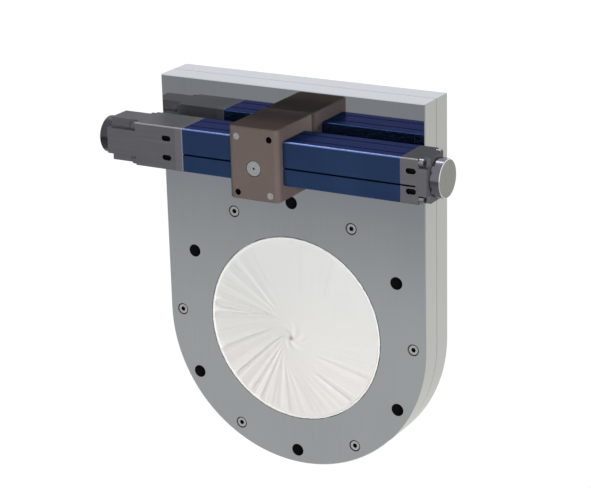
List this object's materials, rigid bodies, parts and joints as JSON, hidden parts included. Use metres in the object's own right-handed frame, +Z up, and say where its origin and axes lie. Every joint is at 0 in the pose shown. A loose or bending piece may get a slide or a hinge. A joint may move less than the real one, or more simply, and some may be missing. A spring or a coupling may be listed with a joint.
{
  "type": "iris diaphragm valve",
  "caption": "Iris diaphragm valve: D-shaped housing with a round bore closed by a twisted fabric sleeve, driven through gears by a pneumatic rack-and-pinion drive on its front.",
  "frame": {"origin": "centre of the bore on the rear flange face", "axes": "+Y along the bore and out of the rear flange face, +Z up towards the drive, +X to the right seen from the front; the front and the drive face -Y"},
  "size_m": [0.3844, 0.1217, 0.4066],
  "materials": {
    "plate": "polished, faint grinding lines",
    "gasket": "sheet gasket",
    "steel": "machined",
    "shaft_steel": "turned",
    "cloth": "white woven sleeve cloth",
    "gear_metal": "machined",
    "slide_plastic": "plain",
    "bronze": "machined",
    "seal_rubber": "moulded",
    "block_finish": "satin anodised",
    "barrel_blue": "glossy anodised",
    "cap_grey": "satin coated",
    "piston_metal": "machined",
    "knob_metal": "turned and polished",
    "knob_dark": "turned, dark"
  },
  "bodies": {
    "root": {"front_housing": "plate", "rear_housing": "plate", "housing_gasket": "gasket", "housing_screws": "steel", "dowel_pins": "steel", "iris_sleeve": "cloth", "front_clamp_ring": "steel", "front_slide_ring": "slide_plastic", "rear_slide_ring": "slide_plastic", "idler_pin": "steel", "idler_washers": "bronze", "front_shaft_bush": "bronze", "rear_shaft_bush": "bronze", "tail_bush": "bronze", "shaft_seal": "seal_rubber", "drive_block": "block_finish", "block_screws": "steel", "left_barrel": "barrel_blue", "right_barrel": "barrel_blue", "left_barrel_flange": "cap_grey", "barrel_seals": "seal_rubber", "left_end_cap": "cap_grey", "right_end_cap": "cap_grey", "left_tie_screws": "steel", "right_tie_screws": "steel"},
    "ring": {"ring_gear": "gear_metal", "rotor_clamp_ring": "steel"},
    "idler": {"idler_gear": "gear_metal", "idler_bush": "bronze"},
    "shaft": {"drive_shaft": "shaft_steel", "drive_gear": "gear_metal", "drive_key": "steel", "shaft_circlip": "steel"},
    "rack": {"rack": "gear_metal", "left_piston": "piston_metal", "right_piston": "piston_metal", "piston_seals": "seal_rubber", "piston_screws": "steel"},
    "left_knob": {"left_stop_knob": "knob_dark"},
    "right_knob": {"right_stop_knob": "knob_metal"},
    "left_spindle": {"left_stop_spindle": "steel"},
    "right_spindle": {"right_stop_spindle": "steel"}
  },
  "joints": [
    {"name": "ring_turn", "type": "hinge", "parent": "root", "child": "ring", "pos_m": [0, -0.025, 0], "axis": [0, -1, 0], "range_deg": [0, 180], "deforming": ["iris_sleeve"]},
    {"name": "idler_spin", "type": "hinge", "parent": "root", "child": "idler", "pos_m": [0.03967, -0.025, 0.14051], "axis": [0, -1, 0], "range_deg": [-759, 0]},
    {"name": "shaft_spin", "type": "hinge", "parent": "root", "child": "shaft", "pos_m": [0, -0.06, 0.192], "axis": [0, -1, 0], "range_deg": [0, 575]},
    {"name": "rack_slide", "type": "slide", "parent": "root", "child": "rack", "axis": [1, 0, 0], "range_m": [-0.1204, 0]},
    {"name": "left_knob_turn", "type": "hinge", "parent": "root", "child": "left_knob", "pos_m": [-0.185, -0.09, 0.198], "axis": [-1, 0, 0], "range_deg": [0, 720]},
    {"name": "left_stop_slide", "type": "slide", "parent": "root", "child": "left_spindle", "axis": [-1, 0, 0], "range_m": [0, 0.00305]},
    {"name": "right_knob_turn", "type": "hinge", "parent": "root", "child": "right_knob", "pos_m": [0.189, -0.09, 0.198], "axis": [1, 0, 0], "range_deg": [0, 720]},
    {"name": "right_stop_slide", "type": "slide", "parent": "root", "child": "right_spindle", "axis": [1, 0, 0], "range_m": [0, 0.00305]}
  ],
  "couplings": [
    {"joint": "idler_spin", "follows": "ring_turn", "ratio": -4.2143},
    {"joint": "shaft_spin", "follows": "ring_turn", "ratio": 3.1892},
    {"joint": "rack_slide", "follows": "ring_turn", "m_per_rad": -0.03827},
    {"joint": "left_stop_slide", "follows": "left_knob_turn", "m_per_rad": 0.00023873},
    {"joint": "right_stop_slide", "follows": "right_knob_turn", "m_per_rad": 0.00023873}
  ]
}
